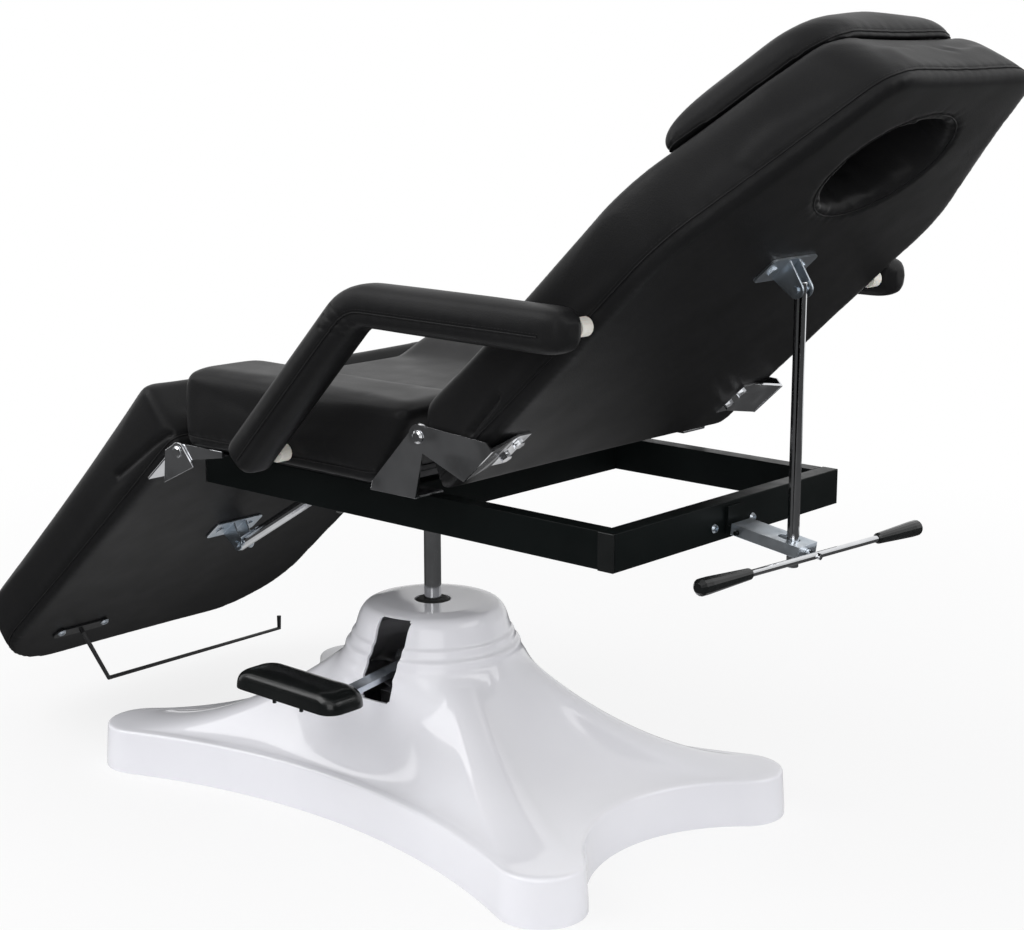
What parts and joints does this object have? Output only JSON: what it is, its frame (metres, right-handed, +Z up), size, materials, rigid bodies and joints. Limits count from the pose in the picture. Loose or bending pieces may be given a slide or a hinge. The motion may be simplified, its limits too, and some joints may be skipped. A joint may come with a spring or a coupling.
{
  "type": "massage table",
  "caption": "Hydraulic massage table with a padded leg rest, seat and reclining backrest with a face hole, armrests and a head pillow, on a swivelling column and a lobed floor base.",
  "frame": {"origin": "on the floor under the column's axis", "axes": "+X towards the head end, +Y towards the occupant's right, +Z up"},
  "size_m": [1.6723, 0.7808, 1.1678],
  "materials": {
    "vinyl": "black grained vinyl with a soft sheen",
    "board": "plywood under black cloth",
    "frame_paint": "satin black paint",
    "chrome": "bright plated steel",
    "zinc": "zinc-plated steel",
    "steel": "plain steel",
    "white_plastic": "glossy white moulding",
    "black_plastic": "glossy black moulding",
    "nylon": "pale nylon",
    "rubber": "matt black rubber",
    "wire": "black coated wire"
  },
  "bodies": {
    "base": {"base_cover": "white_plastic", "base_plate": "steel", "pump_cylinder": "steel", "rod_seal": "rubber", "pump_block": "steel", "pedal_pin": "steel"},
    "pedal": {"pedal_lever": "zinc", "pedal_pad": "black_plastic"},
    "plunger": {"pump_plunger": "steel"},
    "column": {"piston_rod": "chrome"},
    "frame": {"left_rail": "frame_paint", "right_rail": "frame_paint", "rear_bar": "frame_paint", "middle_bar": "frame_paint", "front_bar": "frame_paint", "front_cap_left": "black_plastic", "front_cap_right": "black_plastic", "rear_cap_left": "black_plastic", "rear_cap_right": "black_plastic", "column_plate": "frame_paint", "swivel_hub": "steel", "seat_board": "board", "seat_cushion": "vinyl", "back_hinge_bracket_left": "chrome", "back_hinge_bracket_right": "chrome", "leg_hinge_bracket_left": "chrome", "leg_hinge_bracket_right": "chrome", "arm_front_bolt_left": "nylon", "arm_front_bolt_right": "nylon", "rear_clamp_ears": "frame_paint", "front_clamp_ears": "frame_paint"},
    "backrest": {"backrest_board": "board", "backrest_cushion": "vinyl", "back_hinge_arm_left": "chrome", "back_hinge_arm_right": "chrome", "back_clevis": "zinc", "arm_rear_bolt_left": "nylon", "arm_rear_bolt_right": "nylon"},
    "pillow": {"head_pillow": "vinyl"},
    "legrest": {"legrest_board": "board", "legrest_cushion": "vinyl", "leg_hinge_arm_left": "chrome", "leg_hinge_arm_right": "chrome", "leg_clevis": "zinc", "roll_holder": "wire"},
    "left_armrest": {"armrest_pad_left": "vinyl", "armrest_tube_left": "steel"},
    "right_armrest": {"armrest_pad_right": "vinyl", "armrest_tube_right": "steel"},
    "back_strut": {"back_strut": "chrome"},
    "back_clamp": {"back_clamp": "zinc"},
    "clamp_handle": {"clamp_handle": "chrome", "handle_grip_left": "black_plastic", "handle_grip_right": "black_plastic"},
    "leg_strut": {"leg_strut": "chrome"},
    "leg_clamp": {"leg_clamp": "zinc"},
    "leg_clamp_knob": {"leg_clamp_knob": "black_plastic"}
  },
  "joints": [
    {"name": "lift", "type": "slide", "parent": "base", "child": "column", "axis": [0, 0, 1], "range_m": [-0.03, 0.14]},
    {"name": "swivel", "type": "hinge", "parent": "column", "child": "frame", "pos_m": [0, 0, 0.5], "axis": [0, 0, 1], "continuous": true},
    {"name": "pedal_press", "type": "hinge", "parent": "base", "child": "pedal", "pos_m": [0.02, -0.064, 0.222], "axis": [1, 0, 0], "range_deg": [0, 12], "stiffness_Nm_per_rad": 8, "springref_deg": -22.92},
    {"name": "plunger_slide", "type": "slide", "parent": "base", "child": "plunger", "axis": [0, 0, 1], "range_m": [-0.0092, 0]},
    {"name": "backrest_recline", "type": "hinge", "parent": "frame", "child": "backrest", "pos_m": [0.284, 0, 0.637], "axis": [0, 1, 0], "range_deg": [0, 42.9]},
    {"name": "legrest_tilt", "type": "hinge", "parent": "frame", "child": "legrest", "pos_m": [-0.203, 0, 0.55], "axis": [0, 1, 0], "range_deg": [0, 41]},
    {"name": "left_armrest_pivot", "type": "hinge", "parent": "frame", "child": "left_armrest", "pos_m": [0.023, -0.3605, 0.58], "axis": [0, 1, 0], "range_deg": [0, 23.5]},
    {"name": "right_armrest_pivot", "type": "hinge", "parent": "frame", "child": "right_armrest", "pos_m": [0.023, 0.3605, 0.58], "axis": [0, 1, 0], "range_deg": [0, 23.5]},
    {"name": "back_strut_pivot", "type": "hinge", "parent": "backrest", "child": "back_strut", "pos_m": [0.64614, 0, 0.82609], "axis": [0, 1, 0], "range_deg": [-9.6, 0]},
    {"name": "back_clamp_pivot", "type": "hinge", "parent": "frame", "child": "back_clamp", "pos_m": [0.573, 0, 0.503], "axis": [0, 1, 0], "range_deg": [0, 34]},
    {"name": "clamp_handle_turn", "type": "hinge", "parent": "back_clamp", "child": "clamp_handle", "pos_m": [0.573, 0, 0.503], "axis": [0.9903, 0, -0.1392], "range_deg": [-25, 25]},
    {"name": "leg_strut_pivot", "type": "hinge", "parent": "legrest", "child": "leg_strut", "pos_m": [-0.43811, 0, 0.31289], "axis": [0, 1, 0], "range_deg": [0, 6.5]},
    {"name": "leg_clamp_pivot", "type": "hinge", "parent": "frame", "child": "leg_clamp", "pos_m": [-0.24, 0, 0.5], "axis": [0, 1, 0], "range_deg": [0, 47.5]},
    {"name": "leg_clamp_knob_turn", "type": "hinge", "parent": "leg_clamp", "child": "leg_clamp_knob", "pos_m": [-0.24, 0, 0.5], "axis": [0.515, 0, -0.8572], "continuous": true},
    {"name": "pillow_lift", "type": "slide", "parent": "backrest", "child": "pillow", "axis": [-0.6807, 0, 0.7325], "range_m": [0, 0.06]}
  ],
  "couplings": [
    {"joint": "left_armrest_pivot", "follows": "backrest_recline", "ratio": 0.543},
    {"joint": "right_armrest_pivot", "follows": "backrest_recline", "ratio": 0.543},
    {"joint": "back_strut_pivot", "follows": "backrest_recline", "ratio": -0.218},
    {"joint": "back_clamp_pivot", "follows": "backrest_recline", "ratio": 0.782},
    {"joint": "leg_strut_pivot", "follows": "legrest_tilt", "ratio": 0.1515},
    {"joint": "leg_clamp_pivot", "follows": "legrest_tilt", "ratio": 1.1515},
    {"joint": "plunger_slide", "follows": "pedal_press", "m_per_rad": -0.042}
  ]
}
